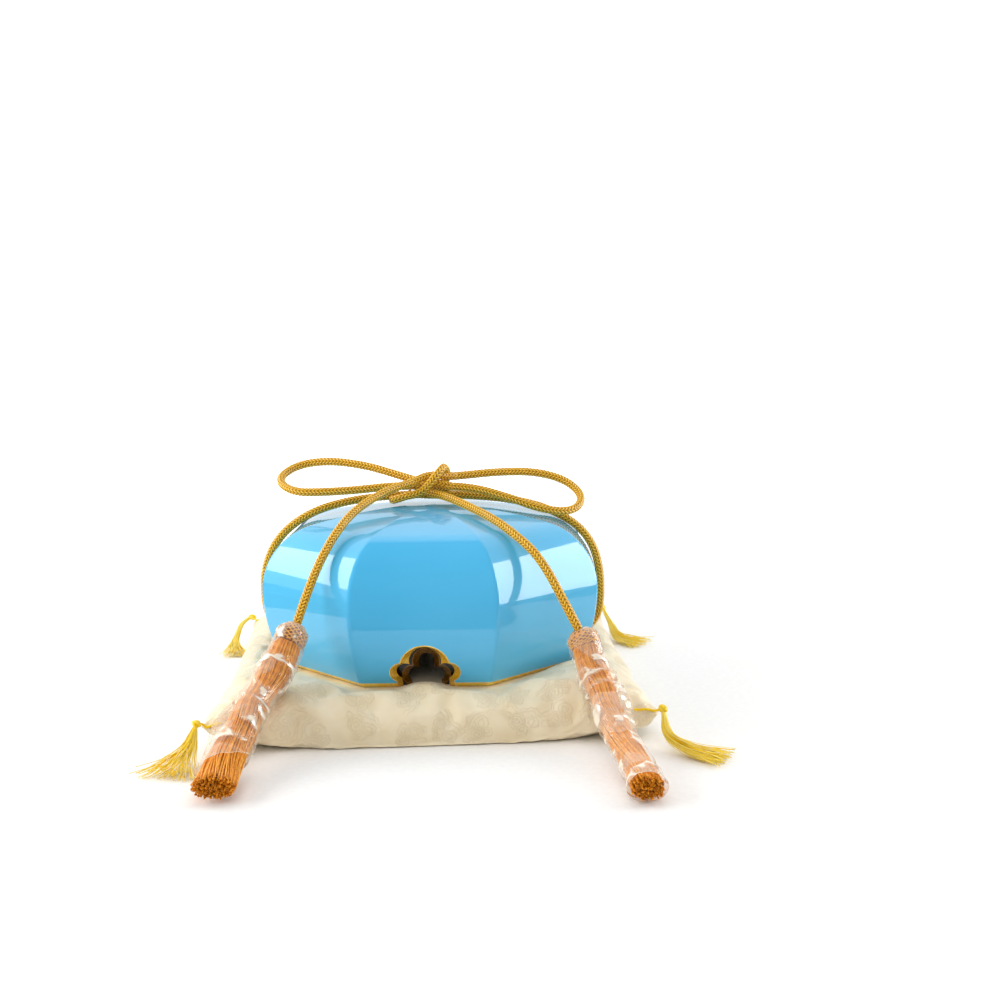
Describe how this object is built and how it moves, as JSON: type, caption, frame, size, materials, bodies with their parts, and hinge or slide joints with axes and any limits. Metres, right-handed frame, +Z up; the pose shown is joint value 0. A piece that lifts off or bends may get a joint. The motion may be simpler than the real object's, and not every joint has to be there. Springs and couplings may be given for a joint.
{
  "type": "keepsake box",
  "caption": "Eight-sided lacquered keepsake box with a vaulted lift-off lid, tied with a tasselled silk cord, on a padded cushion",
  "frame": {"origin": "on the surface that the cushion rests on, under the middle of the box", "axes": "+Z up; +X to the right as seen from the front; the front, where the tassels lie, faces -Y"},
  "size_m": [0.3757, 0.4122, 0.1693],
  "materials": {
    "blue_lacquer": "high-gloss sky-blue lacquer on wood",
    "gold_lacquer": "glossy gold lacquer on wood",
    "dark_lacquer": "semi-gloss black lacquer on wood",
    "silk_cord": "tightly braided gold silk cord",
    "tassel_silk": "twisted golden-brown silk strands",
    "clear_film": "thin clear film, crinkled",
    "silk_damask": "cream silk damask, tone on tone",
    "cotton_filling": "loose cotton filling",
    "fringe_silk": "bright yellow silk threads"
  },
  "bodies": {
    "cushion": {"cushion_top_panel": "silk_damask", "cushion_bottom_panel": "silk_damask", "cushion_filling": "cotton_filling", "corner_knot_fl": "fringe_silk", "corner_fringe_fl": "fringe_silk", "corner_knot_fr": "fringe_silk", "corner_fringe_fr": "fringe_silk", "corner_knot_br": "fringe_silk", "corner_fringe_br": "fringe_silk", "corner_knot_bl": "fringe_silk", "corner_fringe_bl": "fringe_silk"},
    "base": {"base_shell": "dark_lacquer", "base_floor": "dark_lacquer", "base_rim_band": "gold_lacquer", "cord_under_floor": "silk_cord", "base_notch_frame_front": "gold_lacquer", "base_notch_frame_right": "gold_lacquer", "base_notch_frame_back": "gold_lacquer", "base_notch_frame_left": "gold_lacquer"},
    "lid": {"lid_shell": "blue_lacquer", "lid_rim_band": "gold_lacquer", "lid_notch_frame_front": "gold_lacquer", "lid_notch_frame_right": "gold_lacquer", "lid_notch_frame_back": "gold_lacquer", "lid_notch_frame_left": "gold_lacquer", "cord_left_drop": "silk_cord", "cord_right_drop": "silk_cord", "cord_left_loop": "silk_cord", "cord_right_loop": "silk_cord", "cord_left_end": "silk_cord", "cord_right_end": "silk_cord", "cord_knot": "silk_cord", "tassel_head_left": "silk_cord", "tassel_skirt_left": "tassel_silk", "tassel_sleeve_left": "clear_film", "tassel_head_right": "silk_cord", "tassel_skirt_right": "tassel_silk", "tassel_sleeve_right": "clear_film"}
  },
  "joints": [
    {"name": "box_lift", "type": "slide", "parent": "cushion", "child": "base", "axis": [0, 0, 1], "range_m": [0, 0.08]},
    {"name": "lid_lift", "type": "slide", "parent": "base", "child": "lid", "axis": [0, 0, 1], "range_m": [0, 0.14]}
  ]
}
